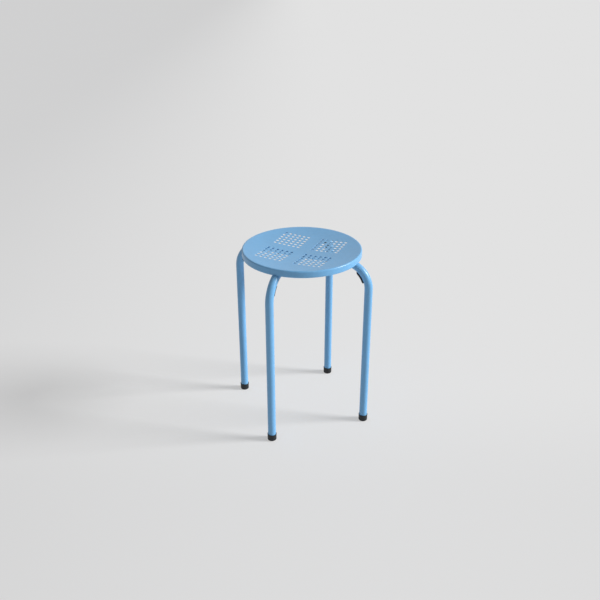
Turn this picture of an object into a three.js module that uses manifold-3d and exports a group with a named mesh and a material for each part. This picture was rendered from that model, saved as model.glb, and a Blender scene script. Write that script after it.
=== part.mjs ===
// A stacking stool of bent steel tube with a pressed, perforated round seat.
// Lengths are in millimetres and angles in radians. X runs towards the right leg, Y towards the
// back leg and Z up, and the origin lies on the floor under the middle of the seat.
import * as THREE from "three";
import { mergeGeometries, mergeVertices } from "three/addons/utils/BufferGeometryUtils.js";
import Module from "manifold-3d";

const wasm = await Module();
wasm.setup();

const quarterTurn = Math.PI / 2;
const degree = Math.PI / 180;

// Seat pan: a steel sheet pressed into a shallow dish, with a rounded rim, a skirt and a hem
const seatHeight = 437.6; // floor to the crest of the rim
const seatRadius = 141.5;
const sheetThickness = 1;
const rimRadius = 3.2; // outer rounding between the dish and the skirt
const skirtDepth = 15.8; // crest down to the hem
const hemHeight = 5; // where the skirt is folded double
const dishDepth = 9.2; // crest down to the middle of the seat

// Perforation: four square patches of round holes, one in each quarter of the seat
const holeRadius = 3.4;
const holePitch = 12.2;
const holesPerSide = 6;
const patchOffset = 18.4; // centre line of the seat to the nearest row of holes

// Leg frames: two tubes, each bent to an upturned U, that cross under the seat
const tubeRadius = 9.55;
const tubeWall = 1.2;
const bendRadius = 60; // at the tube's centre line
const legOffset = 28.5; // edge of the seat out to the leg's centre line
const barHeight = 12; // the tube where it is pressed flat under the seat
const barReach = 76; // middle of the seat to the end of the flat stretch
const pressRun = 16; // length in which the round tube becomes flat
const crossReach = 15; // half the length that is pressed again where the bars cross
const crossRun = 13;

// Foot caps, slipped over the tube ends
const capWall = 1.2;
const capHeight = 17;
const capFloor = 3;
const capEdge = 2.6; // rounding where the cap meets the floor
const capChamfer = 0.5;

// Stacking pads, inside the bends, which rest on the rim of the stool below
const padLength = 31;
const padWidth = 13;
const padThickness = 2.4;
const padCorner = 1.2;
const padAngle = 34.5 * degree; // from the top of the leg round the bend
const pegSpacing = 17;
const pegRadius = 2.3;
const barbRadius = 3;
const barbLength = 3.4;
const barbTip = 1.6;

// Fixings: a weld nut on the seat, and a screw and a washer under the bar
const screwInset = 16; // end of the flat stretch back to each screw
const screwRadius = 3;
const screwLength = 13.6;
const headRadius = 5.25;
const headHeight = 3.3;
const headCrown = 1.9;
const socketRadius = 2.3; // across the corners
const socketDepth = 2;
const washerRadius = 6.25;
const washerThickness = 1.2;
const nutFlangeRadius = 6.5;
const nutBodyRadius = 4.7;
const nutBodyLength = 5;

// Clearances
const fitGap = 0.3; // between pieces that touch on the real stool
const barGap = 1.5; // seat down to the bars, filled by the flanges of the nuts
const notchGap = 0.6; // round the tube in the notches of the skirt
const overrun = 2; // how far a cut runs past the face that it opens

// Facets
const seatSides = 48;
const tubeSides = 16;
const boreSides = 12;
const roundSides = 16;
const holeSides = 8;
const socketSides = 6;
const bendSteps = 12;
const dishSteps = 4;
const rimSteps = 4;
const cornerSteps = 3; // in a small rounding
const saddleSteps = 4; // across the hollow of a pad

// Dish: a part of a sphere that runs tangent into the rim
const crestRadius = seatRadius - rimRadius;
const dishRadius = (crestRadius ** 2 + dishDepth ** 2) / (2 * dishDepth) - rimRadius;
const dishCentre = seatHeight - dishDepth + dishRadius; // height of the sphere's centre
const rimAngle = Math.asin(crestRadius / (dishRadius + rimRadius));

// Distances from the dish's centre to the layers under the seat
const underSeat = dishRadius + sheetThickness;
const barTop = underSeat + barGap;
const barBottom = barTop + barHeight;
const barLine = barTop + tubeRadius; // centre line of the round tube
const crossHeight = (barHeight - fitGap) / 2;
const screwReach = barReach - screwInset; // middle of the seat to each screw

// Bend: an arc between the upright leg and the bowed bar, tangent to both
const legRadius = seatRadius + legOffset;
const bendCentreX = legRadius - bendRadius;
const bendCentreZ = dishCentre - Math.sqrt((barLine + bendRadius) ** 2 - bendCentreX ** 2);
const barAngle = Math.asin(bendCentreX / (barLine + bendRadius));
const legFoot = capFloor + fitGap;

const bluePaint = { color: 0x6f9fd2, roughness: 0.42, metalness: 0.1 };
const blackRubber = { color: 0x25282c, roughness: 0.75, metalness: 0 };
const zincSteel = { color: 0xb9bcc0, roughness: 0.35, metalness: 0.9 };

// A closed geometry as a solid that can be joined and cut
function solidOf(geometry, matrix = new THREE.Matrix4()) {
  const points = new THREE.BufferGeometry();
  points.setAttribute("position", geometry.getAttribute("position").clone());
  points.setIndex(geometry.index);
  points.applyMatrix4(matrix);
  const merged = mergeVertices(points, 1e-4);
  return new wasm.Manifold(
    new wasm.Mesh({
      numProp: 3,
      vertProperties: merged.getAttribute("position").array,
      triVerts: new Uint32Array(merged.index.array),
    }),
  );
}

function geometryOf(solid) {
  const { vertProperties, triVerts } = solid.getMesh();
  const geometry = new THREE.BufferGeometry();
  geometry.setAttribute("position", new THREE.BufferAttribute(vertProperties, 3));
  geometry.setIndex(new THREE.BufferAttribute(triVerts, 1));
  const faceted = geometry.toNonIndexed();
  faceted.computeVertexNormals();
  return faceted;
}

function pieceOf(name, geometry, finish) {
  const mesh = new THREE.Mesh(geometry, new THREE.MeshStandardMaterial(finish));
  mesh.name = name;
  return mesh;
}

// Points on an arc, from one direction to another, counted from the first axis
function arcPoints(centre, radius, from, to, steps) {
  return Array.from({ length: steps + 1 }, (_, i) => {
    const angle = from + ((to - from) * i) / steps;
    return new THREE.Vector2(
      centre.x + radius * Math.cos(angle),
      centre.y + radius * Math.sin(angle),
    );
  });
}

const at = (x, y) => new THREE.Vector2(x, y);

// An outline of (distance from the axis, height) turned about Z
function turned(outline, sides = roundSides) {
  return new THREE.LatheGeometry(outline, sides).rotateX(quarterTurn);
}

// A rod along Z between two heights
function rod(radius, from, to, sides = roundSides) {
  return new THREE.CylinderGeometry(radius, radius, to - from, sides)
    .rotateX(quarterTurn)
    .translate(0, 0, (from + to) / 2);
}

// Places along Z from a bend's centre out through the tube at an angle round the bend
function acrossBend(angle) {
  const turn = new THREE.Matrix4().makeRotationY(quarterTurn - angle);
  return turn.setPosition(bendCentreX, 0, bendCentreZ);
}

// Places along Z from the dish's centre down through the seat and the bar at a screw
const screwAngle = Math.asin(screwReach / barTop);
function downThroughBar() {
  const turn = new THREE.Matrix4().makeRotationY(Math.PI - screwAngle);
  return turn.setPosition(0, 0, dishCentre);
}

// A centre line given by its stations, so that the tube has a ring of points at each of them
class StationCurve extends THREE.Curve {
  constructor(stations) {
    super();
    this.stations = stations;
    this.steps = stations.length - 1;
  }

  station(t) {
    return this.stations[Math.round(t * this.steps)];
  }

  getPointAt(t) {
    const { x, z } = this.station(t);
    return new THREE.Vector3(x, 0, z);
  }

  getTangentAt(t) {
    const { heading } = this.station(t);
    return new THREE.Vector3(-Math.sin(heading), 0, Math.cos(heading));
  }
}

// A station on the bend; the heading is the turn away from straight up
function bendStation(angle) {
  return {
    x: bendCentreX + bendRadius * Math.cos(angle),
    z: bendCentreZ + bendRadius * Math.sin(angle),
    heading: angle,
  };
}

function barStation(angle) {
  return {
    x: barLine * Math.sin(angle),
    z: dishCentre - barLine * Math.cos(angle),
    heading: quarterTurn + angle,
  };
}

function bendStations(steps) {
  const whole = quarterTurn + barAngle;
  return Array.from({ length: steps + 1 }, (_, i) => bendStation((whole * i) / steps));
}

// The whole centre line, from the foot of the right leg over the bar to the foot of the left leg
function frameLine(foot) {
  const reaches = [
    barReach + pressRun,
    barReach,
    screwReach,
    (screwReach + crossReach + crossRun) / 2,
    crossReach + crossRun,
    crossReach,
  ];
  const half = [
    { x: legRadius, z: foot, heading: 0 },
    ...bendStations(bendSteps),
    ...reaches.map((reach) => barStation(Math.asin(reach / barLine))),
  ];
  const otherHalf = half.map(({ x, z, heading }) => ({ x: -x, z, heading: Math.PI - heading }));
  return new StationCurve([...half, barStation(0), ...otherHalf.reverse()]);
}

function circle(radius, sides) {
  return new THREE.Shape(arcPoints(at(0, 0), radius, 0, 2 * Math.PI, sides).slice(0, -1));
}

function sweep(shape, line) {
  return new THREE.ExtrudeGeometry(shape, { steps: line.steps, extrudePath: line });
}

// Where a point of a round tube goes when the tube is pressed between two flat plates: the wall
// keeps its length, so it becomes two flats and two half rounds. The angle counts from the top.
function pressedPoint(angle, radius, halfHeight) {
  const flat = (radius - halfHeight) * quarterTurn;
  const along = radius * Math.abs(angle);
  const side = Math.sign(angle);
  const turn = (along - flat) / halfHeight;
  if (turn < 0) return { across: side * along, up: halfHeight };
  if (turn > Math.PI) return { across: side * (Math.PI * radius - along), up: -halfHeight };
  return {
    across: side * (flat + halfHeight * Math.sin(turn)),
    up: halfHeight * Math.cos(turn),
  };
}

// Half the height of the pressed tube at a distance from the middle of the seat
function halfHeightAt(reach) {
  const flatShare = THREE.MathUtils.clamp((barReach + pressRun - reach) / pressRun, 0, 1);
  const crossShare = THREE.MathUtils.clamp((crossReach + crossRun - reach) / crossRun, 0, 1);
  const flat = THREE.MathUtils.lerp(tubeRadius, barHeight / 2, flatShare);
  return THREE.MathUtils.lerp(flat, crossHeight / 2, crossShare);
}

// Presses the bar of a swept tube. Its top stays level with the seat, but where the bars cross
// the lower one keeps its underside instead. The bore stays one wall inside the tube.
function pressBar(geometry, radius, isUpper) {
  const inset = tubeRadius - radius;
  const pressAngle = Math.asin((barReach + pressRun) / barLine);
  const points = geometry.getAttribute("position");
  for (let i = 0; i < points.count; i++) {
    const below = dishCentre - points.getZ(i);
    const angle = Math.atan2(points.getX(i), below);
    if (points.getZ(i) < bendCentreZ || Math.abs(angle) > pressAngle) continue;
    const distance = Math.hypot(points.getX(i), below);
    const reach = barLine * Math.abs(Math.sin(angle));
    const halfHeight = halfHeightAt(reach);
    const fromTop = Math.atan2(points.getY(i), barLine - distance);
    const { across, up } = pressedPoint(fromTop, radius, halfHeight - inset);
    const isDipped = !isUpper && reach < crossReach + crossRun;
    const middle = barTop + (isDipped ? barHeight - halfHeight : halfHeight);
    points.setXYZ(i, (middle - up) * Math.sin(angle), across, 0);
    points.setZ(i, dishCentre - (middle - up) * Math.cos(angle));
  }
  return geometry;
}

const pegAngles = [-1, 1].map((side) => {
  const padLine = bendRadius - tubeRadius - fitGap;
  return padAngle + (side * pegSpacing) / 2 / padLine;
});

const halfTurn = new THREE.Matrix4().makeRotationZ(Math.PI);

// The holes of one half of a leg frame: two for the pegs of its pad, one for the nut through the
// top of the bar and one for the screw through its underside
function frameHoles() {
  const innerWall = bendRadius - tubeRadius;
  const pegEnd = innerWall + tubeWall + overrun;
  const pegHole = rod(pegRadius + fitGap, innerWall - overrun, pegEnd, holeSides);
  const nutHole = rod(nutBodyRadius + fitGap, barTop - overrun, barTop + tubeWall + overrun);
  const screwHole = rod(screwRadius + fitGap, barBottom - tubeWall - overrun, barBottom + overrun);
  return [
    ...pegAngles.map((angle) => pegHole.clone().applyMatrix4(acrossBend(angle))),
    nutHole.applyMatrix4(downThroughBar()),
    screwHole.applyMatrix4(downThroughBar()),
  ];
}

function legFrame(name, isUpper) {
  const boreRadius = tubeRadius - tubeWall;
  const tubeLine = frameLine(legFoot);
  const tube = sweep(circle(tubeRadius, tubeSides), tubeLine);
  const outside = pressBar(tube, tubeRadius, isUpper);
  const boreLine = frameLine(legFoot - overrun);
  const bore = pressBar(sweep(circle(boreRadius, boreSides), boreLine), boreRadius, isUpper);
  let frame = solidOf(outside).subtract(solidOf(bore));
  for (const hole of frameHoles()) {
    frame = frame.subtract(solidOf(hole)).subtract(solidOf(hole, halfTurn));
  }
  return pieceOf(name, geometryOf(frame), bluePaint);
}

// Section of the pan: out under the dish, down inside the skirt, round the hem, up the skirt,
// over the rim and back along the dish
function seatOutline() {
  const rimCentre = at(crestRadius, seatHeight - rimRadius);
  const skirtEdge = seatHeight - skirtDepth;
  const insideSkirt = seatRadius - sheetThickness;
  const insideHem = insideSkirt - sheetThickness;
  const dishMiddle = at(0, dishCentre);
  const hemCentre = at(insideSkirt, skirtEdge + sheetThickness);
  const outwards = rimAngle - quarterTurn;
  return [
    ...arcPoints(dishMiddle, underSeat, -quarterTurn, outwards, dishSteps),
    ...arcPoints(rimCentre, rimRadius - sheetThickness, quarterTurn, 0, rimSteps),
    at(insideSkirt, skirtEdge + hemHeight + sheetThickness),
    at(insideHem, skirtEdge + hemHeight),
    ...arcPoints(hemCentre, sheetThickness, -Math.PI, 0, cornerSteps),
    ...arcPoints(rimCentre, rimRadius, 0, quarterTurn, rimSteps),
    ...arcPoints(dishMiddle, dishRadius, outwards, -quarterTurn, dishSteps),
  ];
}

function seatHoles() {
  const punch = rod(
    holeRadius,
    dishCentre - underSeat - overrun,
    seatHeight + overrun,
    holeSides,
  );
  const rows = Array.from({ length: holesPerSide }, (_, i) => patchOffset + i * holePitch);
  const places = [...rows.map((row) => -row), ...rows];
  const punches = places.flatMap((x) => places.map((y) => punch.clone().translate(x, y, 0)));
  return mergeGeometries(punches);
}

// What the skirt leaves free for a leg: the bent tube, and a slot below it down to the hem
function skirtNotch() {
  const radius = tubeRadius + notchGap;
  const tube = sweep(circle(radius, tubeSides), new StationCurve(bendStations(bendSteps)));
  const crossing = Math.acos((seatRadius - bendCentreX) / bendRadius);
  const tubeHeight = bendStation(crossing).z;
  const depth = tubeHeight - (seatHeight - skirtDepth) + overrun;
  const solid = solidOf(tube);
  if (depth <= 0) return solid;
  const slot = new THREE.BoxGeometry(2 * rimRadius, 2 * radius, depth);
  slot.translate(seatRadius, 0, tubeHeight - depth / 2);
  return solid.add(solidOf(slot));
}

function seatPan() {
  let pan = solidOf(turned(seatOutline(), seatSides)).subtract(solidOf(seatHoles()));
  for (let side = 0; side < 4; side++) {
    const turn = new THREE.Matrix4().makeRotationZ(side * quarterTurn);
    pan = pan.subtract(skirtNotch().transform(turn.elements));
  }
  return pieceOf("seat_pan", geometryOf(pan), bluePaint);
}

function footCap(name) {
  const inside = tubeRadius + fitGap;
  const outside = inside + capWall;
  const edgeCentre = at(outside - capEdge, capEdge);
  const outline = [
    at(0, 0),
    ...arcPoints(edgeCentre, capEdge, -quarterTurn, 0, cornerSteps),
    at(outside, capHeight - capChamfer),
    at(outside - capChamfer, capHeight),
    at(inside, capHeight),
    at(inside, capFloor),
    at(0, capFloor),
  ];
  const cap = pieceOf(name, turned(outline), blackRubber);
  cap.position.x = legRadius;
  return cap;
}

// Section of a pad: hollow where it fits the tube, with rounded shoulders. The first axis runs
// across the tube and the second away from the bend's centre.
function padSection() {
  const seatedOn = tubeRadius + fitGap;
  const half = padWidth / 2;
  const face = -seatedOn - padThickness;
  const spread = Math.asin(half / seatedOn);
  const shoulder = at(half - padCorner, face + padCorner);
  const otherShoulder = at(-shoulder.x, shoulder.y);
  return new THREE.Shape([
    ...arcPoints(at(0, 0), seatedOn, -quarterTurn - spread, -quarterTurn + spread, saddleSteps),
    ...arcPoints(shoulder, padCorner, 0, -quarterTurn, cornerSteps),
    ...arcPoints(otherShoulder, padCorner, -quarterTurn, -Math.PI, cornerSteps),
  ]);
}

// A rectangle with half-round ends, along the second axis
function pill(length, width) {
  const reach = (length - width) / 2;
  return new THREE.Shape([
    ...arcPoints(at(0, reach), width / 2, 0, Math.PI, 2 * cornerSteps),
    ...arcPoints(at(0, -reach), width / 2, Math.PI, 2 * Math.PI, 2 * cornerSteps),
  ]);
}

// A peg from inside the pad through the tube's wall, with a barb that clears the round bore
function pegOutline() {
  const boreRadius = tubeRadius - tubeWall;
  const neck = bendRadius - Math.sqrt(boreRadius ** 2 - barbRadius ** 2) + fitGap;
  const root = bendRadius - tubeRadius - fitGap - padThickness / 2;
  return [
    at(0, root),
    at(pegRadius, root),
    at(pegRadius, neck),
    at(barbRadius, neck),
    at(barbTip, neck + barbLength),
    at(0, neck + barbLength),
  ];
}

function stackingPad(name) {
  const innerLine = bendRadius - tubeRadius - fitGap;
  const spread = padLength / 2 / (innerLine - padThickness);
  const steps = 2 * cornerSteps;
  const stations = Array.from({ length: steps + 1 }, (_, i) =>
    bendStation(padAngle + spread * ((2 * i) / steps - 1)),
  );
  const strip = solidOf(sweep(padSection(), new StationCurve(stations)));
  const blank = new THREE.ExtrudeGeometry(pill(padLength, padWidth), {
    depth: bendRadius,
    bevelEnabled: false,
  }).rotateZ(quarterTurn);
  let pad = strip.intersect(solidOf(blank, acrossBend(padAngle)));
  for (const angle of pegAngles) {
    pad = pad.add(solidOf(turned(pegOutline(), holeSides), acrossBend(angle)));
  }
  return pieceOf(name, geometryOf(pad), blackRubber);
}

function weldNut(name) {
  const bore = screwRadius + fitGap;
  const flangeTop = underSeat + fitGap;
  const flangeUnder = barTop - fitGap;
  const end = flangeUnder + nutBodyLength;
  const outline = [
    at(bore, flangeTop),
    at(nutFlangeRadius, flangeTop),
    at(nutFlangeRadius, flangeUnder),
    at(nutBodyRadius, flangeUnder),
    at(nutBodyRadius, end),
    at(bore, end),
    at(bore, flangeTop),
  ];
  return pieceOf(name, turned(outline), zincSteel);
}

function screwWasher(name) {
  const top = barBottom + fitGap;
  const under = top + washerThickness;
  const bore = screwRadius + fitGap;
  const outline = [
    at(bore, top),
    at(washerRadius, top),
    at(washerRadius, under),
    at(bore, under),
    at(bore, top),
  ];
  return pieceOf(name, turned(outline), zincSteel);
}

// A button-head screw with a six-sided socket
function seatScrew(name) {
  const seated = barBottom + washerThickness + 2 * fitGap;
  const tip = seated - screwLength;
  const face = seated + headHeight;
  const outline = [
    at(0, tip),
    at(screwRadius, tip),
    at(screwRadius, seated),
    at(headRadius, seated),
    at(headRadius, face - headCrown),
    at((headRadius + socketRadius) / 2, face - headCrown / 4),
    at(socketRadius, face),
    at(0, face),
  ];
  const socket = rod(socketRadius, face - socketDepth, face + overrun, socketSides);
  const screw = solidOf(turned(outline)).subtract(solidOf(socket));
  return pieceOf(name, geometryOf(screw), zincSteel);
}

// What belongs to one leg, turned as a group to its side of the stool
function legPieces(side, index) {
  const fixing = new THREE.Group();
  fixing.position.z = dishCentre;
  fixing.rotation.y = Math.PI - screwAngle;
  fixing.add(
    weldNut(`weld_nut_${side}`),
    screwWasher(`screw_washer_${side}`),
    seatScrew(`seat_screw_${side}`),
  );
  const leg = new THREE.Group();
  leg.rotation.z = index * quarterTurn;
  leg.add(footCap(`foot_cap_${side}`), stackingPad(`stacking_pad_${side}`), fixing);
  return leg;
}

function stool() {
  const group = new THREE.Group();
  const upper = legFrame("leg_frame_upper", true);
  const lower = legFrame("leg_frame_lower", false);
  lower.rotation.z = quarterTurn;
  group.add(seatPan(), upper, lower);
  group.add(...["right", "back", "left", "front"].map(legPieces));
  return group;
}

export default stool();
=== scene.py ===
import math

import bmesh
import bpy
from mathutils import Matrix, Vector


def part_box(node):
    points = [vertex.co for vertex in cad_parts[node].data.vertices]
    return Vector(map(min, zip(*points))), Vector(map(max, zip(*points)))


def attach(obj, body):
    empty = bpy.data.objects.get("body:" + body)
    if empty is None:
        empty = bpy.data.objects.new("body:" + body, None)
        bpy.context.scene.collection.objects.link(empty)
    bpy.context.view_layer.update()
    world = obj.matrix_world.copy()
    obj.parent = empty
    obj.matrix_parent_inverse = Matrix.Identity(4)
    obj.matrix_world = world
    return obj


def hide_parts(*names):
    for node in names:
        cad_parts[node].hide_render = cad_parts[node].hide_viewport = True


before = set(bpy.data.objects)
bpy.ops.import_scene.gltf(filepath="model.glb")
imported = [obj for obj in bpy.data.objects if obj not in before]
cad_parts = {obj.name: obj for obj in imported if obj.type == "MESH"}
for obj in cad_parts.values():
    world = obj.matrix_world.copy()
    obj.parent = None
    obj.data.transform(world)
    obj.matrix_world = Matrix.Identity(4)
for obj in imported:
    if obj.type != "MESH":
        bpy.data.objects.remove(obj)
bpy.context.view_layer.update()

print("frame loaded with", len(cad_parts), "nodes")

# Metres, as in the frame; a size on the stool is given in millimetres
mm = 0.001
quarterTurn = math.pi / 2
sides = ["right", "back", "left", "front"]  # a quarter turn apart, from +X

cameraSetup = {
    "place": (0.6724, -1.4400, 1.0769),
    "heading": 25.195,  # degrees from +Y towards -X
    "downwards": 26.056,
    "roll": -0.025,
    "lens": 43.572,  # millimetres, as is the sensor
    "sensor": 36.0,
}


def makeCamera(setup):
    data = bpy.data.cameras.new("camera")
    data.lens = setup["lens"]
    data.sensor_width = setup["sensor"]
    camera = bpy.data.objects.new("camera", data)
    turn = Matrix.Rotation(math.radians(setup["heading"]), 4, "Z")
    tilt = Matrix.Rotation(math.radians(90 - setup["downwards"]), 4, "X")
    roll = Matrix.Rotation(math.radians(setup["roll"]), 4, "Z")
    camera.matrix_world = Matrix.Translation(setup["place"]) @ turn @ tilt @ roll
    bpy.context.scene.collection.objects.link(camera)
    bpy.context.scene.camera = camera


makeCamera(cameraSetup)
print("camera placed")


class Value:
    # A socket in a sum: 1 - mask adds the Math node that it needs
    def __init__(self, shader, socket):
        self.shader = shader
        self.socket = socket

    def math(self, operation, *values):
        settings = {"operation": operation}
        return self.shader.node("ShaderNodeMath", settings, dict(enumerate(values)))

    def __add__(self, other):
        return self.math("ADD", self, other)

    def __sub__(self, other):
        return self.math("SUBTRACT", self, other)

    def __rsub__(self, other):
        return self.math("SUBTRACT", other, self)

    def __mul__(self, other):
        return self.math("MULTIPLY", self, other)

    def __abs__(self):
        return self.math("ABSOLUTE", self)

    __radd__ = __add__
    __rmul__ = __mul__

    def fraction(self):
        return self.math("FRACT", self)

    def root(self):
        return self.math("SQRT", self)

    # 0 up to low, 1 from high, and smooth between them
    def rise(self, low, high):
        settings = {"interpolation_type": "SMOOTHSTEP"}
        values = {"Value": self, "From Min": low, "From Max": high}
        return self.shader.node("ShaderNodeMapRange", settings, values)

    # A mask that rises over the range of a look, up to its share
    def masked(self, look):
        return self.rise(*look["mask"]) * look["share"]


class Shader:
    # The nodes of one material or of the world
    def __init__(self, tree):
        self.tree = tree
        self.tree.nodes.clear()

    # A node by its type, its settings, and the values or links of its sockets
    def node(self, kind, settings=None, values=None, output=0):
        made = self.tree.nodes.new(kind)
        for name, setting in (settings or {}).items():
            setattr(made, name, setting)
        for name, value in (values or {}).items():
            if isinstance(value, Value):
                self.tree.links.new(value.socket, made.inputs[name])
            else:
                made.inputs[name].default_value = value
        if made.outputs:
            return Value(self, made.outputs[output])

    def place(self):
        return self.node("ShaderNodeTexCoord", output="Object")

    def axes(self, vector):
        split = self.node("ShaderNodeSeparateXYZ", values={0: vector}).socket.node
        return [Value(self, output) for output in split.outputs]

    def stretched(self, vector, scale):
        settings = {"operation": "MULTIPLY"}
        return self.node("ShaderNodeVectorMath", settings, {0: vector, 1: scale})

    def noise(self, vector, look):
        values = {
            "Vector": vector,
            "Scale": 1 / look["size"],
            "Detail": look["detail"],
            "Roughness": look.get("rough", 0.5),
        }
        return self.node("ShaderNodeTexNoise", values=values)

    def mixed(self, mask, without, withMask):
        settings = {"data_type": "RGBA"}
        return self.node("ShaderNodeMix", settings, {0: mask, 6: without, 7: withMask}, output=2)

    def bump(self, height, distance, strength=1.0, normal=None):
        values = {"Strength": strength, "Distance": distance, "Height": height}
        if normal:
            values["Normal"] = normal
        return self.node("ShaderNodeBump", values=values)

    # 1 where the camera looks, also in a reflection or through glass
    def seen(self):
        camera, glossy, through = [
            self.node("ShaderNodeLightPath", output=f"Is {kind} Ray")
            for kind in ("Camera", "Glossy", "Transmission")
        ]
        return (camera + glossy + through).rise(0.0, 1.0)

    def surface(self, values):
        shader = self.node("ShaderNodeBsdfPrincipled", values=values)
        self.node("ShaderNodeOutputMaterial", values={"Surface": shader})


def newShader(name):
    material = bpy.data.materials.new(name)
    material.use_nodes = True
    return material, Shader(material.node_tree)


def shade(colour, factor):
    return tuple(channel * factor for channel in colour[:3]) + (1.0,)


weldDistance = 0.0001 * mm  # points of a mesh that lie closer are one
cutPast = 2 * mm  # how far a cutting shape reaches past what it cuts


class Shape:
    # The points and faces of one piece while it is built
    def __init__(self):
        self.points = []
        self.faces = []

    def ring(self, places):
        first = len(self.points)
        self.points.extend(Vector(place) for place in places)
        return list(range(first, len(self.points)))

    # Quads between two rings, or triangles where one of them is a single point
    def bridge(self, lower, upper):
        count = max(len(lower), len(upper))
        for i in range(count):
            j = (i + 1) % count
            corners = [lower[i % len(lower)], lower[j % len(lower)]]
            corners += [upper[j % len(upper)], upper[i % len(upper)]]
            self.faces.append(list(dict.fromkeys(corners)))

    def bridgeAll(self, rings):
        for lower, upper in zip(rings, rings[1:]):
            self.bridge(lower, upper)

    def add(self, other, matrix):
        first = len(self.points)
        self.points.extend(matrix @ point for point in other.points)
        self.faces.extend([first + i for i in face] for face in other.faces)

    def moved(self, matrix):
        result = Shape()
        result.add(self, matrix)
        return result

    def mesh(self, name):
        mesh = bpy.data.meshes.new(name)
        mesh.from_pydata(self.points, [], self.faces)
        model = bmesh.new()
        model.from_mesh(mesh)
        bmesh.ops.remove_doubles(model, verts=model.verts, dist=weldDistance)
        bmesh.ops.recalc_face_normals(model, faces=model.faces)
        model.to_mesh(mesh)
        model.free()
        return mesh


def arc(centre, radius, start, end, steps):
    angles = [start + (end - start) * i / steps for i in range(steps + 1)]
    return [(centre[0] + radius * math.cos(a), centre[1] + radius * math.sin(a)) for a in angles]


def straight(start, end, steps):
    return [
        tuple(a + (b - a) * i / steps for a, b in zip(start, end)) for i in range(steps + 1)
    ]


# An outline of (distance from the axis, height) turned about Z; it ends on the axis or closes
def turned(outline, count=48):
    shape = Shape()
    turns = [2 * math.pi * i / count for i in range(count)]
    rings = []
    for distance, height in outline:
        if distance == 0:
            rings.append(shape.ring([(0, 0, height)]))
            continue
        places = [(distance * math.cos(a), distance * math.sin(a), height) for a in turns]
        rings.append(shape.ring(places))
    if outline[0][0]:
        rings.append(rings[0])
    shape.bridgeAll(rings)
    return shape


def rod(radius, start, end, count=32):
    return turned([(0, start), (radius, start), (radius, end), (0, end)], count)


# The turn from the right side, where everything is laid out, to another side
def quarter(index):
    return Matrix.Rotation(index * quarterTurn, 4, "Z")


# A shape at some of the four sides
def atSides(shape, indices):
    result = Shape()
    for index in indices:
        result.add(shape, quarter(index))
    return result


def addObject(name, mesh):
    made = bpy.data.objects.new(name, mesh)
    bpy.context.scene.collection.objects.link(made)
    return made


# Joins a shape to a mesh or cuts it out, and gives the new mesh
def combined(mesh, shape, operation="DIFFERENCE"):
    body = addObject("body", mesh)
    tool = addObject("tool", shape.mesh("tool"))
    modifier = body.modifiers.new("combine", "BOOLEAN")
    modifier.operation = operation
    modifier.solver = "MANIFOLD"
    modifier.object = tool
    cut = body.evaluated_get(bpy.context.evaluated_depsgraph_get())
    result = bpy.data.meshes.new_from_object(cut)
    bpy.data.objects.remove(body)
    bpy.data.objects.remove(tool)
    return result


sharpAngle = math.radians(50)


def addPiece(name, mesh, material, node):
    mesh.name = name
    mesh.materials.clear()
    mesh.materials.append(material)
    mesh.shade_smooth()
    mesh.set_sharp_from_angle(angle=sharpAngle)
    piece = addObject(name, mesh)
    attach(piece, "root")
    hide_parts(node)


# Dish of the seat: part of a sphere that runs tangent into the rim
dish = {
    "depth": 9.2 * mm,  # below the crest
    "rim": 3.2 * mm,  # radius of the rounding from the dish into the skirt
    "sheet": 1.0 * mm,
}
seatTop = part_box("seat_pan")[1].z
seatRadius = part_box("seat_pan")[1].x
crestRadius = seatRadius - dish["rim"]
dishRadius = (crestRadius**2 + dish["depth"] ** 2) / (2 * dish["depth"]) - dish["rim"]
dishCentre = seatTop - dish["depth"] + dishRadius
underSeat = dishRadius + dish["sheet"]  # from the same centre
rimAngle = math.asin(crestRadius / (dishRadius + dish["rim"]))

# A leg frame is one bent tube, pressed flat under the seat into a bar that follows the dish
legFrame = {
    "tube": 9.55 * mm,  # radius
    "wall": 1.2 * mm,
    "bend": 60 * mm,  # radius of its centre line
    "bar": 12 * mm,  # height of the tube where it is pressed flat
    "barGap": 1.5 * mm,  # under the sheet
    "barReach": 76 * mm,  # the flat bar ends here, from the middle of the seat
    "pressRun": 16 * mm,  # and turns round over this
    "crossReach": 15 * mm,  # the same for the thinner part where the bars cross
    "crossRun": 13 * mm,
    "fitGap": 0.3 * mm,
    "tubeSides": 64,
    "bendSteps": 40,
    "flatShare": 0.5,  # of the points of a section, on its flats
    "pressSteps": 16,
    "flatSteps": 12,
    "crossSteps": 6,
}
legRadius = (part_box("foot_cap_right")[0].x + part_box("foot_cap_right")[1].x) / 2
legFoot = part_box("leg_frame_upper")[0].z

# Distances from the centre of the dish to the top of the bar, the centre line of the round tube
# and the bottom of the bar, and the height of each bar where they cross
barTop = underSeat + legFrame["barGap"]
barLine = barTop + legFrame["tube"]
barBottom = barTop + legFrame["bar"]
crossHeight = (legFrame["bar"] - legFrame["fitGap"]) / 2

# The centre of a bend, and how far the line to it from the centre of the dish leans from upright
bendX = legRadius - legFrame["bend"]
bendZ = dishCentre - math.sqrt((barLine + legFrame["bend"]) ** 2 - bendX**2)
barAngle = math.asin(bendX / (barLine + legFrame["bend"]))

# The screws sit where the bar is flat; local Z runs down through it from the dish's centre
fixing = {"reach": 60 * mm, "screw": 3 * mm, "nutBody": 4.7 * mm}
screwAngle = math.asin(fixing["reach"] / barTop)
downThroughBar = Matrix.Translation((0, 0, dishCentre)) @ Matrix.Rotation(
    math.pi - screwAngle, 4, "Y"
)


# Local Z runs from the bend's centre out through the tube
def acrossBend(angle):
    turn = Matrix.Rotation(quarterTurn - angle, 4, "Y")
    return Matrix.Translation((bendX, 0, bendZ)) @ turn


def smooth(low, high, value):
    share = min(max((value - low) / (high - low), 0), 1)
    return share * share * (3 - 2 * share)


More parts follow.
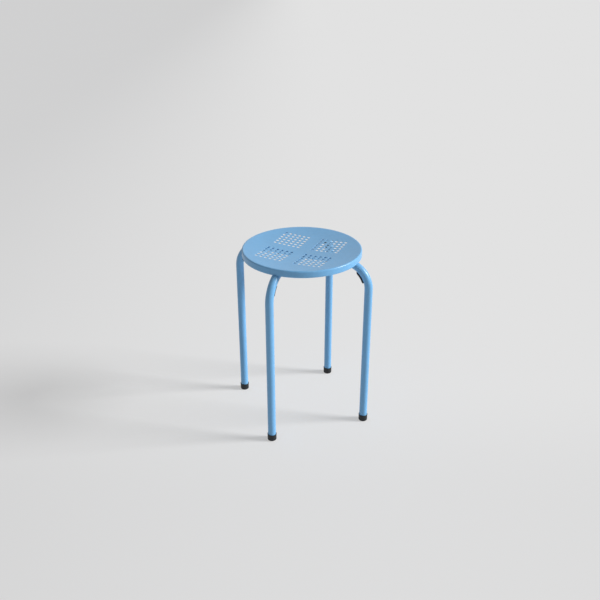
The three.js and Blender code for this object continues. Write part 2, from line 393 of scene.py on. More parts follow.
# From what a size is at the crossing, in the flat bar and in the round tube to what it is
# at a distance from the middle of the seat
def alongBar(reach, crossed, flat, full):
    flatEnd = legFrame["barReach"]
    crossEnd = legFrame["crossReach"]
    value = flat + (full - flat) * smooth(flatEnd, flatEnd + legFrame["pressRun"], reach)
    return crossed + (value - crossed) * smooth(crossEnd, crossEnd + legFrame["crossRun"], reach)


# A point of a round tube once it is pressed between flat plates; its wall keeps its length
def pressedPoint(angle, radius, halfHeight):
    flat = (radius - halfHeight) * quarterTurn
    along = radius * abs(angle)
    side = math.copysign(1, angle)
    if along <= flat:
        return side * along, halfHeight
    turn = (along - flat) / halfHeight
    if turn >= math.pi:
        return side * (math.pi * radius - along), -halfHeight
    return side * (flat + halfHeight * math.sin(turn)), halfHeight * math.cos(turn)


# The flat takes the same share of the points in every pressed section, so that the lines
# along the tube run straight through
def sharedOut(angle, radius, halfHeight):
    flatPart = 1 - halfHeight / radius
    fromMiddle = min(abs(angle), math.pi - abs(angle)) / quarterTurn
    share = legFrame["flatShare"]
    if fromMiddle < share:
        placed = fromMiddle * flatPart / share
    else:
        placed = flatPart + (fromMiddle - share) * (1 - flatPart) / (1 - share)
    placed *= quarterTurn
    return math.copysign(placed if abs(angle) <= quarterTurn else math.pi - placed, angle)


sectionAngles = [
    2 * math.pi * (i / legFrame["tubeSides"]) - math.pi for i in range(legFrame["tubeSides"])
]


# A ring of the round tube; outwards is the angle round the bend at which its outer side lies
def roundRing(x, z, outwards, radius):
    return [
        (
            x + radius * math.cos(a) * math.cos(outwards),
            radius * math.sin(a),
            z + radius * math.cos(a) * math.sin(outwards),
        )
        for a in sectionAngles
    ]


# A ring of the bar at a reach from the middle of the seat, blended between its sections
def barRing(reach, radius, isUpper):
    angle = math.asin(reach / barLine)
    heights = [crossHeight / 2, legFrame["bar"] / 2]
    halfHeight = alongBar(abs(reach), *heights, legFrame["tube"])
    inset = legFrame["tube"] - radius
    # Where the bars cross, the upper one is thinned from below and the lower one from above
    dipped = not isUpper and abs(reach) < legFrame["crossReach"] + legFrame["crossRun"]
    middle = barTop + (legFrame["bar"] - halfHeight if dipped else halfHeight)
    places = []
    for a in sectionAngles:
        points = [
            pressedPoint(sharedOut(a, radius, height - inset), radius, height - inset)
            for height in heights
        ]
        points.append((radius * math.sin(a), radius * math.cos(a)))
        across, up = [alongBar(abs(reach), *values) for values in zip(*points)]
        distance = middle - up
        places.append(
            (distance * math.sin(angle), across, dishCentre - distance * math.cos(angle))
        )
    return places


# Rings from the foot of the right leg over the bar to the foot of the left leg
def tubeRings(shape, radius, foot, isUpper):
    bend = legFrame["bend"]
    half = [roundRing(legRadius, foot, 0, radius)]
    for x, z in arc((bendX, bendZ), bend, 0, quarterTurn + barAngle, legFrame["bendSteps"]):
        half.append(roundRing(x, z, math.atan2(z - bendZ, x - bendX), radius))
    flatEnd = legFrame["barReach"]
    crossStart = legFrame["crossReach"] + legFrame["crossRun"]
    crossEnd = legFrame["crossReach"]
    runs = [
        (flatEnd + legFrame["pressRun"], flatEnd, legFrame["pressSteps"]),
        (flatEnd, crossStart, legFrame["flatSteps"]),
        (crossStart, crossEnd, legFrame["pressSteps"]),
        (crossEnd, 0, legFrame["crossSteps"]),
    ]
    for start, end, steps in runs:
        for i in range(steps):
            half.append(barRing(start + (end - start) * i / steps, radius, isUpper))
    middle = barRing(0, radius, isUpper)
    otherHalf = [[(-x, y, z) for x, y, z in ring] for ring in reversed(half)]
    return [shape.ring(ring) for ring in [*half, middle, *otherHalf]]


pad = {
    "length": 31 * mm,
    "width": 13 * mm,
    "thickness": 2.4 * mm,
    "corner": 1.2 * mm,
    "angle": math.radians(34.5),  # from the top of the leg round the bend
    "pegSpacing": 17 * mm,
    "peg": 2.3 * mm,
    "barb": 3 * mm,
    "barbLength": 3.4 * mm,
    "barbTip": 1.6 * mm,
    "endSteps": 12,
    "sideSteps": 10,
    "faceSteps": 4,
    "cornerSteps": 4,
}
padLine = legFrame["bend"] - legFrame["tube"] - legFrame["fitGap"]
pegAngles = [pad["angle"] + turn * pad["pegSpacing"] / 2 / padLine for turn in (-1, 1)]


# Holes of one half of a frame: for the pegs of its pad, and for the nut and screw in its bar
def frameHoles():
    gap = legFrame["fitGap"]
    through = legFrame["wall"] + cutPast
    inner = legFrame["bend"] - legFrame["tube"]
    holes = Shape()
    for angle in pegAngles:
        holes.add(rod(pad["peg"] + gap, inner - cutPast, inner + through), acrossBend(angle))
    nutHole = rod(fixing["nutBody"] + gap, barTop - cutPast, barTop + through)
    screwHole = rod(fixing["screw"] + gap, barBottom - through, barBottom + cutPast)
    holes.add(nutHole, downThroughBar)
    holes.add(screwHole, downThroughBar)
    return holes


def makeLegFrame(name, material, node, isUpper):
    shape = Shape()
    outside = tubeRings(shape, legFrame["tube"], legFoot, isUpper)
    inside = tubeRings(shape, legFrame["tube"] - legFrame["wall"], legFoot, isUpper)
    shape.bridgeAll([*outside, *reversed(inside), outside[0]])
    mesh = combined(shape.mesh(name), atSides(frameHoles(), (0, 2)))
    if not isUpper:
        mesh.transform(quarter(1))
    addPiece(name, mesh, material, node)


seatPan = {
    "holesPerSide": 6,
    "holePitch": 12.2 * mm,
    "hole": 3.4 * mm,  # radius
    "patchOffset": 18.4 * mm,  # middle of the seat to the nearest row of holes
    "topEdge": 0.4 * mm,  # the punched edge, rounded under its paint
    "underEdge": 0.25 * mm,
    "edgeMargin": 0.6 * mm,
    "skirt": 15.8 * mm,  # from the crest to its lower edge
    "hem": 5 * mm,  # the sheet is folded up inside by this
    "notchGap": 0.6 * mm,
    "cellSteps": 6,
    "outerSteps": 7,
    "rimSteps": 16,
    "skirtSteps": 5,
    "hemSteps": 8,
}
patchStart = seatPan["patchOffset"] - seatPan["holePitch"] / 2


# The sheet is laid out in cells. Each cell of a patch holds one hole, and the two rows and
# columns of cells beside the middle are plain.
patchLines = [patchStart + i * seatPan["holePitch"] for i in range(seatPan["holesPerSide"] + 1)]
cellLines = [-line for line in reversed(patchLines)] + [0] + patchLines
plainCells = (seatPan["holesPerSide"], seatPan["holesPerSide"] + 1)


def cellBorder(left, right, front, back):
    corners = [(left, front), (right, front), (right, back), (left, back), (left, front)]
    border = []
    for start, end in zip(corners, corners[1:]):
        border += straight(start, end, seatPan["cellSteps"])[:-1]
    return border


class SheetSide:
    # One side of the dished and punched sheet, on a sphere of its own
    def __init__(self, shape, sphere):
        self.shape = shape
        self.sphere = sphere
        self.known = {}

    def height(self, x, y):
        return dishCentre - math.sqrt(self.sphere**2 - x * x - y * y)

    # The point at a place, which the cells that meet there share
    def point(self, x, y):
        key = (round(x / mm, 3), round(y / mm, 3))
        if key not in self.known:
            self.known[key] = self.shape.ring([(x, y, self.height(x, y))])[0]
        return self.known[key]

    # A ring round a hole that starts, as the border of its cell does, at the left front corner
    def circle(self, x, y, radius, lift):
        count = 4 * seatPan["cellSteps"]
        turns = [(i / count - 3 / 8) * 2 * math.pi for i in range(count)]
        places = [(x + radius * math.cos(a), y + radius * math.sin(a)) for a in turns]
        return self.shape.ring([(px, py, self.height(px, py) + lift) for px, py in places])

    def addPlainCell(self, left, right, front, back):
        steps = seatPan["cellSteps"]
        xs = [left + (right - left) * i / steps for i in range(steps + 1)]
        ys = [front + (back - front) * i / steps for i in range(steps + 1)]
        for x0, x1 in zip(xs, xs[1:]):
            for y0, y1 in zip(ys, ys[1:]):
                corners = [(x0, y0), (x1, y0), (x1, y1), (x0, y1)]
                self.shape.faces.append([self.point(*corner) for corner in corners])

    # Gives the loop in the hole, where its rounded edge ends
    def addPunchedCell(self, left, right, front, back, rounding, inwards):
        x, y = (left + right) / 2, (front + back) / 2
        hole = seatPan["hole"]
        rings = [[self.point(*place) for place in cellBorder(left, right, front, back)]]
        rings.append(self.circle(x, y, hole + rounding + seatPan["edgeMargin"], 0))
        for turn in (0, quarterTurn / 2, quarterTurn):
            radius = hole + rounding * (1 - math.sin(turn))
            rings.append(self.circle(x, y, radius, inwards * rounding * (1 - math.cos(turn))))
        self.shape.bridgeAll(rings)
        return rings[-1]

    def addCells(self, rounding, inwards):
        holeLoops = []
        spans = list(zip(cellLines, cellLines[1:]))
        for column, across in enumerate(spans):
            for row, along in enumerate(spans):
                if column in plainCells or row in plainCells:
                    self.addPlainCell(*across, *along)
                else:
                    holeLoops.append(self.addPunchedCell(*across, *along, rounding, inwards))
        return holeLoops

    # From the square of the cells out to the round edge, whose loop it gives
    def addBorder(self, edgeRadius):
        steps = seatPan["cellSteps"]
        corner = cellLines[-1]
        corners = [(-corner, -corner), (corner, -corner), (corner, corner), (-corner, corner)]
        outline = []
        for (x0, y0), (x1, y1) in zip(corners, corners[1:] + corners[:1]):
            for start, end in zip(cellLines, cellLines[1:]):
                for i in range(steps):
                    share = (start + (end - start) * i / steps + corner) / (2 * corner)
                    outline.append((x0 + (x1 - x0) * share, y0 + (y1 - y0) * share))
        rings = [[self.point(*place) for place in outline]]
        for i in range(1, seatPan["outerSteps"] + 1):
            share = i / seatPan["outerSteps"]
            places = []
            for x, y in outline:
                distance = math.hypot(x, y)
                scale = (distance + (edgeRadius - distance) * share) / distance
                places.append((x * scale, y * scale, self.height(x * scale, y * scale)))
            rings.append(self.shape.ring(places))
        self.shape.bridgeAll(rings)
        return rings[-1]


# What the skirt leaves free for a leg: the bent tube, and a slot below it
def notchTube():
    radius = legFrame["tube"] + seatPan["notchGap"]
    tube = Shape()
    path = arc((bendX, bendZ), legFrame["bend"], 0, quarterTurn + barAngle, legFrame["bendSteps"])
    rings = [
        tube.ring(roundRing(x, z, math.atan2(z - bendZ, x - bendX), radius)) for x, z in path
    ]
    first, last = path[0], path[-1]
    middles = [tube.ring([(x, 0, z)]) for x, z in (first, last)]
    tube.bridgeAll([middles[0], *rings, middles[1]])
    return tube


def notchSlot():
    radius = legFrame["tube"] + seatPan["notchGap"]
    crossing = bendZ + math.sqrt(legFrame["bend"] ** 2 - (seatRadius - bendX) ** 2)
    low = seatTop - seatPan["skirt"] - cutPast
    reach = dish["rim"]
    slot = Shape()
    corners = [(-reach, -radius), (reach, -radius), (reach, radius), (-reach, radius)]
    rings = [
        slot.ring([(seatRadius + x, y, z) for x, y in corners]) for z in (low, crossing)
    ]
    slot.bridgeAll(rings)
    slot.faces += rings
    return slot


# From the edge of the dish over the rim, down the skirt, round its fold and up again inside,
# as (distance from the axis, height)
def skirtOutline():
    sheet = dish["sheet"]
    rim = (crestRadius, seatTop - dish["rim"])
    inside = seatRadius - sheet
    skirtEdge = seatTop - seatPan["skirt"]
    fold = (inside, skirtEdge + sheet)
    hemTop = skirtEdge + seatPan["hem"]
    start = quarterTurn + rimAngle
    return [
        *arc(rim, dish["rim"], start, 0, seatPan["rimSteps"])[1:],
        *straight((seatRadius, rim[1]), (seatRadius, fold[1]), seatPan["skirtSteps"])[1:],
        *arc(fold, sheet, 0, -math.pi, seatPan["hemSteps"])[1:],
        (inside - sheet, hemTop),
        (inside, hemTop + sheet),
        *arc(rim, dish["rim"] - sheet, 0, start, seatPan["rimSteps"])[:-1],
    ]


def makeSeatPan(material):
    shape = Shape()
    top = SheetSide(shape, dishRadius)
    topHoles = top.addCells(seatPan["topEdge"], -1)
    topLoop = top.addBorder(dishRadius * math.sin(rimAngle))
    under = SheetSide(shape, underSeat)
    underHoles = under.addCells(seatPan["underEdge"], 1)
    underLoop = under.addBorder(underSeat * math.sin(rimAngle))
    for topHole, underHole in zip(topHoles, underHoles):
        shape.bridge(topHole, underHole)

    directions = [shape.points[i].xy.normalized() for i in topLoop]
    rings = [topLoop]
    for distance, height in skirtOutline():
        rings.append(shape.ring([(d.x * distance, d.y * distance, height) for d in directions]))
    shape.bridgeAll([*rings, underLoop])

    mesh = shape.mesh("seatPan")
    for notch in (notchTube(), notchSlot()):
        mesh = combined(mesh, atSides(notch, range(len(sides))))
    addPiece("seatPan", mesh, material, "seat_pan")


footCap = {
    "gap": 0.3 * mm,  # round the tube
    "floor": 3 * mm,
    "edge": 2.6 * mm,  # radius of the rounding at the bottom
    "draft": 0.25 * mm,  # the wall stands back from the bead round the mouth
    "bead": 2.4 * mm,
    "lip": 0.5 * mm,
    "roundSides": 64,
    "edgeSteps": 10,
    "beadSteps": 4,
    "mouthSteps": 12,
}


def makeFootCap(name, material, node, index):
    low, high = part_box("foot_cap_right")
    outside = (high.x - low.x) / 2
    top = high.z
    inside = legFrame["tube"] + footCap["gap"]
    wall = outside - footCap["draft"]
    edge = footCap["edge"]
    lip = footCap["lip"]
    beadLow = top - footCap["bead"]
    mouth = (outside - inside) / 2
    beadRound = (wall + footCap["draft"] - lip, beadLow + lip / 2)
    outline = [
        (0, 0),
        *straight((edge, 0), (wall - 2 * edge, 0), 2),
        *arc((wall - edge, edge), edge, -quarterTurn, 0, footCap["edgeSteps"]),
        (wall, beadLow - lip),
        *arc(beadRound, lip, -quarterTurn / 2, 0, footCap["beadSteps"]),
        *arc((outside - mouth, top - mouth), mouth, 0, math.pi, footCap["mouthSteps"]),
        (inside, footCap["floor"] + lip),
        (inside - lip, footCap["floor"]),
        (0, footCap["floor"]),
    ]
    shape = turned(outline, footCap["roundSides"]).moved(Matrix.Translation((legRadius, 0, 0)))
    mesh = shape.moved(quarter(index)).mesh(name)
    addPiece(name, mesh, material, node)


# The outline of a pad as (along, across), drawn in by an inset
def pillOutline(inset):
    radius = pad["width"] / 2 - inset
    reach = (pad["length"] - pad["width"]) / 2
    outline = arc((reach, 0), radius, -quarterTurn, quarterTurn, pad["endSteps"])
    outline += straight((reach, radius), (-reach, radius), pad["sideSteps"])[1:-1]
    outline += arc((-reach, 0), radius, quarterTurn, 3 * quarterTurn, pad["endSteps"])
    outline += straight((-reach, -radius), (reach, -radius), pad["sideSteps"])[1:-1]
    return outline


# Hollow where it lies on the tube, with rounded shoulders
def padBody():
    seatedOn = legFrame["tube"] + legFrame["fitGap"]
    bend = legFrame["bend"]
    face = bend - seatedOn - pad["thickness"]
    corner = pad["corner"]
    half = pad["width"] / 2

    def place(along, across, radius):
        angle = pad["angle"] + math.asin(along / radius)
        return bendX + radius * math.cos(angle), across, bendZ + radius * math.sin(angle)

    shape = Shape()
    rings = []
    for i in range(pad["faceSteps"], -1, -1):  # the hollow side, from its middle out
        outline = pillOutline(half * i / pad["faceSteps"])
        hollow = [(s, y, bend - math.sqrt(seatedOn**2 - y * y)) for s, y in outline]
        rings.append(shape.ring([place(*point) for point in hollow]))
    for i in range(pad["cornerSteps"] + 1):
        turn = quarterTurn * i / pad["cornerSteps"]
        outline = pillOutline(corner * (1 - math.cos(turn)))
        radius = face + corner * (1 - math.sin(turn))
        rings.append(shape.ring([place(s, y, radius) for s, y in outline]))
    for i in range(1, pad["faceSteps"] + 1):
        outline = pillOutline(corner + (half - corner) * i / pad["faceSteps"])
        rings.append(shape.ring([place(s, y, face) for s, y in outline]))
    shape.bridgeAll(rings)
    return shape


# Two pegs go from inside the pad through the tube's wall and end in a barb
def padPegs():
    bore = legFrame["tube"] - legFrame["wall"]
    neck = legFrame["bend"] - math.sqrt(bore**2 - pad["barb"] ** 2) + legFrame["fitGap"]
    root = padLine - pad["thickness"] / 2
    tip = neck + pad["barbLength"]
    peg = turned(
        [
            (0, root),
            (pad["peg"], root),
            (pad["peg"], neck),
            (pad["barb"], neck),
            (pad["barbTip"], tip),
            (0, tip),
        ]
    )
    pegs = Shape()
    for angle in pegAngles:
        pegs.add(peg, acrossBend(angle))
    return pegs


def makePad(name, material, node, index):
    mesh = combined(padBody().mesh(name), padPegs(), "UNION")
    mesh.transform(quarter(index))
    addPiece(name, mesh, material, node)


# The heights of these three are distances down from the centre of the dish
washer = {"radius": 6.25 * mm, "thickness": 1.2 * mm, "edge": 0.35 * mm, "edgeSteps": 4}
nut = {"flange": 6.5 * mm, "length": 5 * mm, "edge": 0.25 * mm}
screw = {
    "length": 13.6 * mm,
    "head": 5.25 * mm,
    "height": 3.3 * mm,
    "crown": 1.9 * mm,
    "socket": 2.3 * mm,
    "socketDepth": 2 * mm,
    "socketSides": 6,
    "tip": 0.6 * mm,
    "crownSteps": 10,
}


def placeFixing(name, mesh, material, node, index):
    mesh.transform(quarter(index) @ downThroughBar)
    addPiece(name, mesh, material, node)


def makeWasher(name, material, node, index):
    top = barBottom + legFrame["fitGap"]
    under = top + washer["thickness"]
    bore = fixing["screw"] + legFrame["fitGap"]
    edge = washer["edge"]
    outline = [
        (bore, top),
        (washer["radius"] - edge / 2, top),
        (washer["radius"], top + edge / 2),
        *arc((washer["radius"] - edge, under - edge), edge, 0, quarterTurn, washer["edgeSteps"]),
        (bore + edge, under),
        (bore, under - edge),
    ]
    placeFixing(name, turned(outline).mesh(name), material, node, index)


def makeNut(name, material, node, index):
    bore = fixing["screw"] + legFrame["fitGap"]
    flangeTop = underSeat + legFrame["fitGap"]
    flangeUnder = barTop - legFrame["fitGap"]
    end = flangeUnder + nut["length"]
    body = fixing["nutBody"]
    edge = nut["edge"]
    outline = [
        (bore, flangeTop),
        (nut["flange"] - edge, flangeTop),
        (nut["flange"], flangeTop + edge),
        (nut["flange"], flangeUnder),
        (body, flangeUnder),
        (body, end - edge),
        (body - edge, end),
        (bore, end),
    ]
    placeFixing(name, turned(outline).mesh(name), material, node, index)


def makeScrew(name, material, node, index):
    gap = legFrame["fitGap"]
    seated = barBottom + washer["thickness"] + 2 * gap
    tip = seated - screw["length"]
    face = seated + screw["height"]
    shank = fixing["screw"]
    crownLow = face - screw["crown"]
    crownRun = screw["head"] - screw["socket"]
    crown = [
        (screw["socket"] + crownRun * along, crownLow + screw["crown"] * up)
        for along, up in arc((0, 0), 1, 0, quarterTurn, screw["crownSteps"])
    ]
    outline = [
        (0, tip),
        (shank - screw["tip"], tip),
        (shank, tip + screw["tip"]),
        (shank, seated),
        (screw["head"], seated),
        *crown,
        (0, face),
    ]
    bottom = face - screw["socketDepth"]
    socket = rod(screw["socket"], bottom, face + cutPast, screw["socketSides"])
    mesh = combined(turned(outline).mesh(name), socket)
    placeFixing(name, mesh, material, node, index)


# In the finishes a noise has the size of its features, its detail and how rough it is. Its
# mask rises between two of its levels, its share is how much of a colour that mask lets in,
# and it can roughen the surface.
paint = {
    "colour": (0.182, 0.465, 0.794, 1.0),
    "worn": (0.32, 0.56, 0.79, 1.0),
    "roughness": 0.33,
    "ior": 1.5,
    "dull": 0.95,  # shades of the colour
    "bright": 1.045,
    "dark": 0.75,
    "cloud": {
        "size": 70 * mm,
        "detail": 3.0,
        "mask": (0.3, 0.7),
        "share": 0.6,
        "roughens": 0.08,
    },
    "mottle": {
        "size": 9 * mm,
        "detail": 3.0,
        "rough": 0.6,
        "mask": (0.3, 0.7),
        "share": 0.4,
        "roughens": 0.1,
    },
    "speck": {"size": 0.8 * mm, "detail": 2.0, "mask": (0.62, 0.8), "share": 0.2},
    "scuff": {
        "size": 9 * mm,
        "detail": 4.0,
        "rough": 0.7,
        "stretch": (1.0, 14.0, 3.0),
        "mask": (0.62, 0.72),
        "share": 0.25,
        "roughens": 0.15,
    },
    "scuffed": {"size": 40 * mm, "detail": 2.0, "mask": (0.45, 0.65)},  # where scuffs lie
    "rubbed": {"share": 0.7, "roughens": 0.12},
    "peel": {"size": 2.4 * mm, "detail": 1.0, "depth": 0.08 * mm},
    "grain": {"size": 0.35 * mm, "detail": 2.0, "depth": 0.006 * mm},
}


# Powder coat: orange peel, a fine grain, a little unevenness, and rubbing where it is handled
def makePaint(name, rubbedMask):
    material, shader = newShader(name)
    place = shader.place()
    plain = paint["colour"]
    cloud = shader.noise(place, paint["cloud"])
    mottle = shader.noise(place, paint["mottle"])
    speck = shader.noise(place, paint["speck"])
    scuff = shader.noise(shader.stretched(place, paint["scuff"]["stretch"]), paint["scuff"])
    scuffed = shader.noise(place, paint["scuffed"])
    scuffs = scuff.rise(*paint["scuff"]["mask"]) * scuffed.rise(*paint["scuffed"]["mask"])
    rubbed = rubbedMask(shader, place)

    brightness = cloud.masked(paint["cloud"]) + mottle.masked(paint["mottle"])
    colour = shader.mixed(brightness, shade(plain, paint["dull"]), shade(plain, paint["bright"]))
    colour = shader.mixed(speck.masked(paint["speck"]), colour, shade(plain, paint["dark"]))
    colour = shader.mixed(rubbed * paint["rubbed"]["share"], colour, paint["worn"])
    colour = shader.mixed(scuffs * paint["scuff"]["share"], colour, paint["worn"])

    roughness = paint["roughness"]
    roughness += (cloud - 0.5) * paint["cloud"]["roughens"]
    roughness += (mottle - 0.5) * paint["mottle"]["roughens"]
    roughness += scuffs * paint["scuff"]["roughens"]
    roughness += rubbed * paint["rubbed"]["roughens"]

    normal = shader.bump(shader.noise(place, paint["peel"]), paint["peel"]["depth"])
    grain = shader.noise(place, paint["grain"])
    normal = shader.bump(grain, paint["grain"]["depth"], normal=normal)
    shader.surface(
        {
            "Base Color": colour,
            "Roughness": roughness,
            "Normal": normal,
            "IOR": paint["ior"],
        }
    )
    return material


seatWear = {
    "patchEdge": 0.02,  # in cells
    "holeEdge": (0.1 * mm, 0.9 * mm),
    "holeShare": 0.8,
    "crest": (0.5 * mm, 5 * mm),
    "crestHeight": 4 * mm,
    "crestPatches": {"size": 18 * mm, "detail": 3.0, "mask": (0.5, 0.7), "share": 0.7},
}


# Where the seat's paint is thin or rubbed: round the punched holes and along the crest
def seatRubbing(shader, place):
    x, y, z = shader.axes(place)
    pitch = seatPan["holePitch"]
    end = seatPan["holesPerSide"]
    soft = seatWear["patchEdge"]
    counts = [(abs(axis) - patchStart) * (1 / pitch) for axis in (x, y)]
    inColumns, inRows = [
        count.rise(0.0, soft) * (1 - count.rise(end - soft, end)) for count in counts
    ]
    fromHoleX, fromHoleY = [(count.fraction() - 0.5) * pitch for count in counts]
    fromHole = (fromHoleX * fromHoleX + fromHoleY * fromHoleY).root()
    low, high = [seatPan["hole"] + distance for distance in seatWear["holeEdge"]]
    holeEdge = (1 - fromHole.rise(low, high)) * inColumns * inRows

    fromAxis = (x * x + y * y).root()
    crest = 1 - abs(fromAxis - crestRadius).rise(*seatWear["crest"])
    crest = crest * z.rise(seatTop - seatWear["crestHeight"], seatTop)
    patches = shader.noise(place, seatWear["crestPatches"]).masked(seatWear["crestPatches"])
    return holeEdge * seatWear["holeShare"] + crest * patches


legWear = {
    "floor": (20 * mm, 90 * mm),
    "floorShare": 0.7,
    "bendStart": (385 * mm, 410 * mm),
    "bendEnd": (418 * mm, 425 * mm),
    "bendShare": 0.35,
    "patches": {"size": 7 * mm, "detail": 4.0, "rough": 0.65, "mask": (0.56, 0.7)},
}


# On the legs the paint is rubbed near the floor and at the top of the bends
def legRubbing(shader, place):
    height = shader.axes(place)[2]
    nearFloor = 1 - height.rise(*legWear["floor"])
    atBend = height.rise(*legWear["bendStart"]) * (1 - height.rise(*legWear["bendEnd"]))
    patches = shader.noise(place, legWear["patches"]).rise(*legWear["patches"]["mask"])
    return (nearFloor * legWear["floorShare"] + atBend * legWear["bendShare"]) * patches


rubber = {
    "colour": (0.012, 0.0145, 0.017, 1.0),
    "dusty": (0.05, 0.052, 0.053, 1.0),
    "roughness": 0.55,
    "ior": 1.5,
    "specular": 0.38,
    "cloud": {
        "size": 6 * mm,
        "detail": 4.0,
        "mask": (0.55, 0.8),
        "share": 0.2,
        "roughens": 0.15,
    },
    "dust": {"height": (0.2 * mm, 4 * mm), "mask": (0.3, 0.7), "share": 0.6, "roughens": 0.15},
    "grain": {"size": 0.25 * mm, "detail": 3.0, "depth": 0.03 * mm, "strength": 0.8},
}


# Moulded rubber, a little dusty next to the floor
def makeRubber():
    material, shader = newShader("blackRubber")
    place = shader.place()
    height = shader.axes(place)[2]
    cloud = shader.noise(place, rubber["cloud"])
    grain = shader.noise(place, rubber["grain"])
    dust = (1 - height.rise(*rubber["dust"]["height"])) * cloud.rise(*rubber["dust"]["mask"])
    colour = shader.mixed(dust * rubber["dust"]["share"], rubber["colour"], rubber["dusty"])
    colour = shader.mixed(cloud.masked(rubber["cloud"]), colour, rubber["dusty"])
    roughness = rubber["roughness"] + (cloud - 0.5) * rubber["cloud"]["roughens"]
    roughness += dust * rubber["dust"]["roughens"]
    shader.surface(
        {
            "Base Color": colour,
            "Roughness": roughness,
            "Normal": shader.bump(grain, rubber["grain"]["depth"], rubber["grain"]["strength"]),
            "IOR": rubber["ior"],
            "Specular IOR Level": rubber["specular"],
        }
    )
    return material


zinc = {
    "colour": (0.60, 0.61, 0.62, 1.0),
    "dull": (0.42, 0.42, 0.41, 1.0),
    "roughness": 0.18,
    "cloud": {
        "size": 3 * mm,
        "detail": 4.0,
        "rough": 0.6,
        "mask": (0.45, 0.75),
        "roughens": 0.3,
    },
    "grain": {
        "size": 0.3 * mm,
        "detail": 2.0,
        "stretch": (1.0, 1.0, 6.0),
        "depth": 0.01 * mm,
    },
}


# Zinc plating with dull clouds in it
def makeZinc():
    material, shader = newShader("zincPlate")
    place = shader.place()
    cloud = shader.noise(place, zinc["cloud"])
    grain = shader.noise(shader.stretched(place, zinc["grain"]["stretch"]), zinc["grain"])
    colour = shader.mixed(cloud.rise(*zinc["cloud"]["mask"]), zinc["colour"], zinc["dull"])
    shader.surface(
        {
            "Base Color": colour,
            "Metallic": 1.0,
            "Roughness": zinc["roughness"] + cloud * zinc["cloud"]["roughens"],
            "Normal": shader.bump(grain, zinc["grain"]["depth"]),
        }
    )
    return material


seatPaint = makePaint("seatPaint", seatRubbing)
framePaint = makePaint("framePaint", legRubbing)
blackRubber = makeRubber()
zincPlate = makeZinc()
print("finishes made")

makeSeatPan(seatPaint)
print("seat made")
makeLegFrame("legFrameUpper", framePaint, "leg_frame_upper", True)
makeLegFrame("legFrameLower", framePaint, "leg_frame_lower", False)
print("leg frames made")

for index, side in enumerate(sides):
    sideName = side.title()
    makeFootCap(f"footCap{sideName}", blackRubber, f"foot_cap_{side}", index)
    makePad(f"stackingPad{sideName}", blackRubber, f"stacking_pad_{side}", index)
    makeNut(f"weldNut{sideName}", zincPlate, f"weld_nut_{side}", index)
    makeWasher(f"screwWasher{sideName}", zincPlate, f"screw_washer_{side}", index)
    makeScrew(f"seatScrew{sideName}", zincPlate, f"seat_screw_{side}", index)
print("caps, pads and fixings made")

studio = {
    "floorSize": 60.0,
    "floorColour": (0.84, 0.84, 0.845, 1.0),
    "floorDull": 0.985,
    "floorCloud": {"size": 0.8, "detail": 3.0},
    # The camera and reflections see half of the floor's light as a plain tone of its own, so
    # that the shadows on it stay faint
    "plainShare": 0.5,
    "plainLight": (0.897, 0.896, 0.893, 1.0),
    "plainDark": (0.566, 0.566, 0.57, 1.0),
    # A painted pool of light: the plain tone turns lighter to the right, and a little from front
    # to back; metres from the stool
    "sideways": {"mask": (-1.92, 0.31), "share": 0.77},
    "backwards": {"mask": (-0.42, 0.10), "share": 0.23},
    "key": {"azimuth": 22.5, "height": 28.0, "spread": 18.0, "strength": 3.58},
    "white": (1.0, 1.0, 1.0, 1.0),
    "dome": 0.213,
    "backdrop": 0.78,
}


# The direction of an azimuth from +X towards +Y and a height above the floor, in degrees
def directionOf(azimuth, height):
    azimuth, height = math.radians(azimuth), math.radians(height)
    across = math.cos(height)
    return Vector((across * math.cos(azimuth), across * math.sin(azimuth), math.sin(height)))


# How light the painted pool of light makes the plain tone at a place on the floor
def paintedLightLevel(shader, place, setup):
    x, y = shader.axes(place)[:2]
    right = directionOf(cameraSetup["heading"], 0)
    toRight = x * right.x + y * right.y
    toBack = y * right.x - x * right.y
    return toRight.masked(setup["sideways"]) + toBack.masked(setup["backwards"])


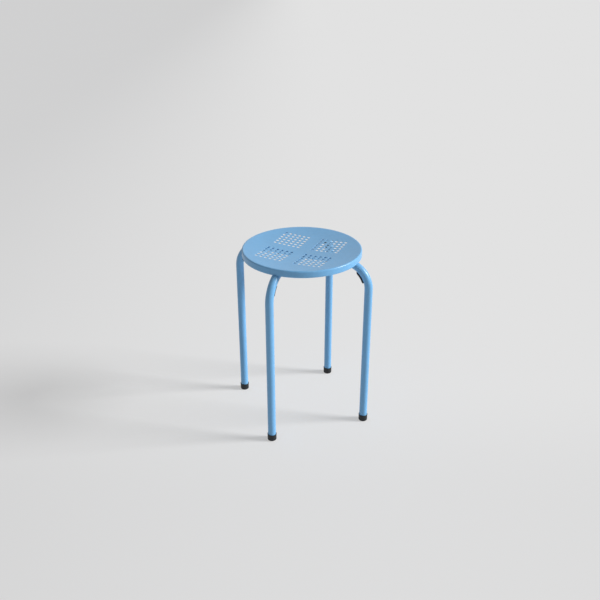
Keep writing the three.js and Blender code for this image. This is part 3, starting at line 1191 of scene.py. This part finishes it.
def makeFloor(setup):
    half = setup["floorSize"] / 2
    mesh = bpy.data.meshes.new("floor")
    corners = [(-half, -half, 0), (half, -half, 0), (half, half, 0), (-half, half, 0)]
    mesh.from_pydata(corners, [], [(0, 1, 2, 3)])
    floor = addObject("floor", mesh)
    material, shader = newShader("paleFloor")
    place = shader.place()
    cloud = shader.noise(place, setup["floorCloud"])
    dull = shade(setup["floorColour"], setup["floorDull"])
    tone = shader.mixed(cloud, dull, setup["floorColour"])
    pale = shader.node("ShaderNodeBsdfDiffuse", values={"Color": tone})
    # Painted light: the plain tone gets lighter to the right and towards the back
    level = paintedLightLevel(shader, place, setup)
    tone = shader.mixed(level, setup["plainDark"], setup["plainLight"])
    plain = shader.node("ShaderNodeEmission", values={"Color": tone, "Strength": 1.0})
    share = shader.seen() * setup["plainShare"]
    top = shader.node("ShaderNodeMixShader", values={0: share, 1: pale, 2: plain})

    # From below the camera looks through it
    clear = shader.node("ShaderNodeBsdfTransparent")
    fromBelow = shader.node("ShaderNodeNewGeometry", output="Backfacing")
    camera = shader.node("ShaderNodeLightPath", output="Is Camera Ray")
    values = {0: fromBelow * camera, 1: top, 2: clear}
    surface = shader.node("ShaderNodeMixShader", values=values)
    shader.node("ShaderNodeOutputMaterial", values={"Surface": surface})
    mesh.materials.append(material)


def makeKeyLight(setup):
    key = setup["key"]
    data = bpy.data.lights.new("keyLight", "SUN")
    data.energy = key["strength"]
    data.angle = math.radians(key["spread"])
    light = bpy.data.objects.new("keyLight", data)
    towards = directionOf(key["azimuth"], key["height"])
    light.rotation_mode = "QUATERNION"
    light.rotation_quaternion = towards.to_track_quat("Z", "Y")
    bpy.context.scene.collection.objects.link(light)


# A soft even dome round the stool; the camera and reflections see a pale backdrop instead
def makeDome(setup):
    world = bpy.data.worlds.new("dome")
    world.use_nodes = True
    bpy.context.scene.world = world
    shader = Shader(world.node_tree)
    dome, plain = [
        shader.node(
            "ShaderNodeBackground", values={"Color": setup["white"], "Strength": setup[name]}
        )
        for name in ("dome", "backdrop")
    ]
    both = shader.node("ShaderNodeMixShader", values={0: shader.seen(), 1: dome, 2: plain})
    shader.node("ShaderNodeOutputWorld", values={"Surface": both})


makeFloor(studio)
makeKeyLight(studio)
makeDome(studio)
bpy.context.scene.view_settings.view_transform = "Standard"
print("studio made")
